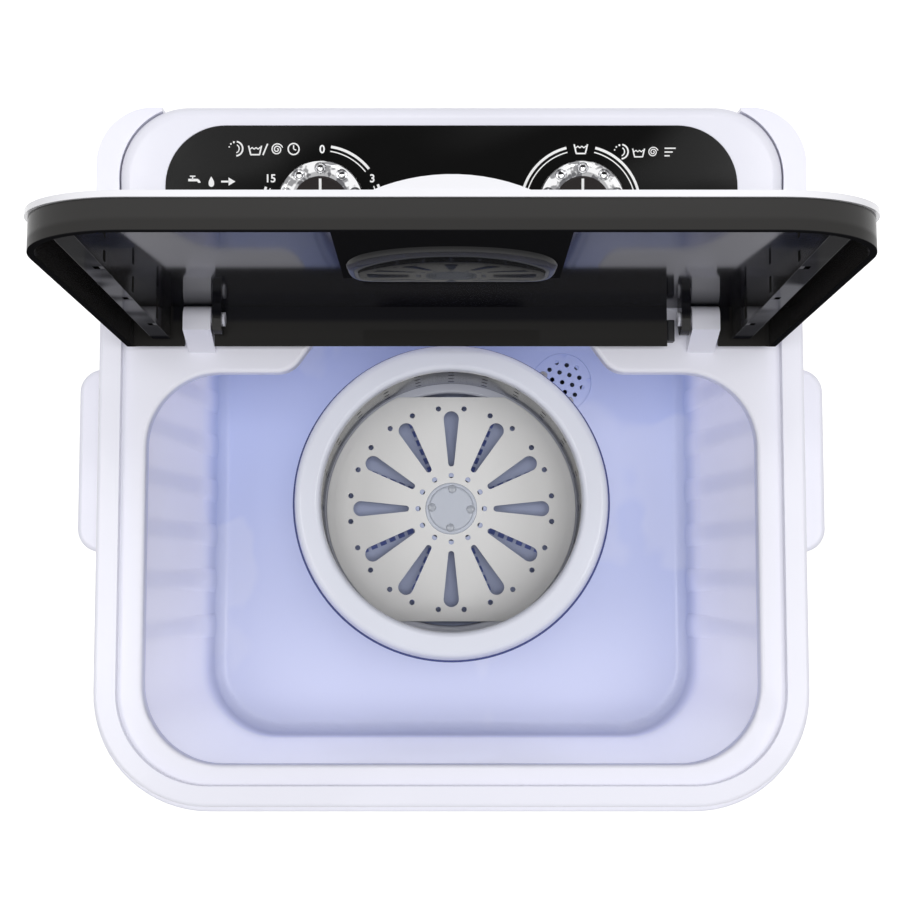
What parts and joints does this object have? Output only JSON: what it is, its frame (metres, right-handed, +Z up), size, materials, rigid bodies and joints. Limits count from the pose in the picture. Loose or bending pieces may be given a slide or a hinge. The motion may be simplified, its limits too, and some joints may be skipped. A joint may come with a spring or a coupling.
{
  "type": "mini washing machine",
  "caption": "Compact top-loading washing machine: one tub with a lift-out spin basket, a drain grille, a hinged lid, side grips, and a rear console with a timer and a selector knob.",
  "frame": {"origin": "on the floor, under the middle of the body, with the lid standing open", "axes": "+Z up, -Y towards the front where the user stands, +X to the user's right"},
  "size_m": [0.446, 0.392, 0.7295],
  "materials": {
    "body_white": "smooth white moulded plastic",
    "cover_white": "plain white moulded plastic",
    "base_black": "plain black moulded plastic",
    "foot_rubber": "soft black rubber",
    "screw_steel": "zinc plated screws",
    "tub_blue": "pale lavender blue moulded plastic",
    "pipe_grey": "grey flexible moulded plastic",
    "fascia_black": "glossy black panel",
    "switch_white": "plain white moulded plastic",
    "capacitor_metal": "drawn aluminium can",
    "bracket_steel": "pressed steel, grey paint",
    "housing_plastic": "glass filled moulded plastic",
    "bearing_steel": "ground and polished steel",
    "seal_rubber": "black rubber",
    "motor_steel": "steel can, grey paint",
    "winding_copper": "copper windings on a laminated core",
    "core_steel": "laminated steel",
    "pulley_alloy": "die cast alloy",
    "lid_smoke": "glossy smoked plastic",
    "lid_white": "smooth white moulded plastic",
    "knob_chrome": "bright chrome plating",
    "knob_black": "dark glossy plastic",
    "pointer_white": "white insert",
    "pulsator_blue": "blue moulded plastic",
    "basket_steel": "bright rolled stainless steel",
    "ring_white": "cool white moulded plastic",
    "lip_navy": "dark blue moulded plastic",
    "basket_blue": "slate blue moulded plastic",
    "plate_grey": "satin light grey plastic",
    "cap_clear": "milky clear plastic"
  },
  "bodies": {
    "machine": {"rubber_feet": "foot_rubber", "base_frame": "base_black", "base_screws": "screw_steel", "cabinet": "body_white", "side_handle_left": "body_white", "side_handle_right": "body_white", "top_deck": "body_white", "wash_tub": "tub_blue", "tub_screws": "screw_steel", "drain_grille": "tub_blue", "grille_screws": "screw_steel", "drain_pipe": "pipe_grey", "rear_cover": "cover_white", "rear_cover_screws": "screw_steel", "cord_gland": "base_black", "console_housing": "body_white", "console_screws": "screw_steel", "fascia_panel": "fascia_black", "timer_body": "switch_white", "selector_switch": "switch_white", "water_inlet": "pipe_grey", "lid_buffers": "foot_rubber", "lid_switch": "base_black", "capacitor": "capacitor_metal", "drive_bracket": "bracket_steel", "bracket_screws": "screw_steel", "bearing_housing": "housing_plastic", "shaft_bearings": "bearing_steel", "shaft_seal": "seal_rubber", "motor_body": "motor_steel", "motor_stator": "winding_copper", "motor_bolts": "screw_steel", "drive_belt": "seal_rubber"},
    "lid": {"lid_tray": "lid_smoke", "lid_trim": "lid_white"},
    "timer_knob": {"timer_knob_ring": "knob_chrome", "timer_knob_cap": "knob_black", "timer_knob_pointer": "pointer_white", "timer_knob_spindle": "switch_white"},
    "selector_knob": {"selector_knob_ring": "knob_chrome", "selector_knob_cap": "knob_black", "selector_knob_pointer": "pointer_white", "selector_knob_spindle": "switch_white"},
    "drive": {"pulsator": "pulsator_blue", "pulsator_screw": "screw_steel", "drive_shaft": "bearing_steel", "drive_pulley": "pulley_alloy"},
    "motor_armature": {"motor_shaft": "bearing_steel", "motor_rotor": "core_steel", "motor_pulley": "pulley_alloy"},
    "basket": {"basket_wall": "basket_steel", "basket_ring": "ring_white", "basket_lip": "lip_navy", "basket_base": "basket_blue", "basket_collar": "ring_white", "basket_plate": "plate_grey", "basket_hub_cap": "cap_clear"}
  },
  "joints": [
    {"name": "lid_hinge", "type": "hinge", "parent": "machine", "child": "lid", "pos_m": [0, 0.079, 0.4696], "axis": [-1, 0, 0], "range_deg": [-91.8, 0]},
    {"name": "timer_turn", "type": "hinge", "parent": "machine", "child": "timer_knob", "pos_m": [-0.0698, 0.13389, 0.51092], "axis": [0, 0.1564, -0.9877], "range_deg": [0, 300]},
    {"name": "selector_turn", "type": "hinge", "parent": "machine", "child": "selector_knob", "pos_m": [0.0698, 0.13389, 0.51092], "axis": [0, 0.1564, -0.9877], "range_deg": [-90, 90]},
    {"name": "drive_spin", "type": "hinge", "parent": "machine", "child": "drive", "pos_m": [0, -0.0206, 0.22], "axis": [0, 0, 1], "continuous": true},
    {"name": "basket_lift", "type": "slide", "parent": "drive", "child": "basket", "axis": [0, 0, 1], "range_m": [0, 0.028]},
    {"name": "motor_spin", "type": "hinge", "parent": "machine", "child": "motor_armature", "pos_m": [-0.118, -0.0206, 0.18], "axis": [0, 0, 1], "continuous": true}
  ],
  "couplings": [
    {"joint": "motor_spin", "follows": "drive_spin", "ratio": 4.5495}
  ]
}
